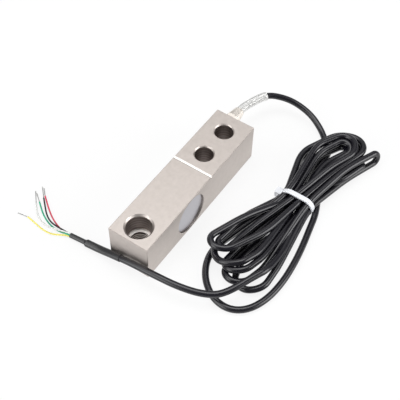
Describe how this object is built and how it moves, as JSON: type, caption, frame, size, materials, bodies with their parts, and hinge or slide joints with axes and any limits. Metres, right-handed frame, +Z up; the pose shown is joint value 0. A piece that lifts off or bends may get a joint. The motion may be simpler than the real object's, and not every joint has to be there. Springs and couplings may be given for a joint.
{
  "type": "shear beam load cell",
  "caption": "Plated steel bar that measures load by shear, with bolt holes at one end, a threaded loading hole at the other, and a tied cable from a gland.",
  "frame": {"origin": "middle of the beam's underside", "axes": "+X along the beam towards the cable end, +Z up, the cable lies on the -Y side"},
  "size_m": [0.203, 0.1951, 0.0318],
  "materials": {
    "nickel_plate": "satin nickel plate over alloy steel",
    "cover_steel": "smooth stainless sheet",
    "gland_plate": "plated brass",
    "spring_steel": "close-wound stainless wire",
    "cable_jacket": "satin black jacket",
    "shrink_sleeve": "shrunk black sleeve",
    "tie_nylon": "natural white nylon",
    "seal_rubber": "black rubber",
    "potting": "cured silicone",
    "gauge_film": "amber film with a foil grid",
    "strip_board": "glass fibre board with tinned pads",
    "resistor_body": "lacquered barrel",
    "tinned_strands": "tinned copper strands",
    "insulation_yellow": "smooth insulation",
    "insulation_green": "smooth insulation",
    "insulation_white": "smooth insulation",
    "insulation_black": "smooth insulation",
    "insulation_red": "smooth insulation"
  },
  "bodies": {
    "root": {"beam_body": "nickel_plate", "balance_resistor": "resistor_body", "bridge_jumpers": "insulation_white", "gland_body": "gland_plate", "gland_nut": "gland_plate", "gland_washer": "gland_plate", "gland_seal": "seal_rubber", "relief_spring": "spring_steel", "cable_lead": "cable_jacket", "cable_hank": "cable_jacket", "cable_loop": "cable_jacket", "cable_tail": "cable_jacket", "cable_tie": "tie_nylon", "end_sleeve": "shrink_sleeve", "strain_gauge_left": "gauge_film", "terminal_strip_left": "strip_board", "potting_left": "potting", "cover_disc_left": "cover_steel", "strain_gauge_right": "gauge_film", "terminal_strip_right": "strip_board", "potting_right": "potting", "cover_disc_right": "cover_steel", "inner_wire_red": "insulation_red", "inner_wire_black": "insulation_black", "inner_wire_green": "insulation_green", "inner_wire_white": "insulation_white", "wire_yellow": "insulation_yellow", "tinned_end_yellow": "tinned_strands", "wire_green": "insulation_green", "tinned_end_green": "tinned_strands", "wire_white": "insulation_white", "tinned_end_white": "tinned_strands", "wire_black": "insulation_black", "tinned_end_black": "tinned_strands", "wire_red": "insulation_red", "tinned_end_red": "tinned_strands"}
  },
  "joints": []
}
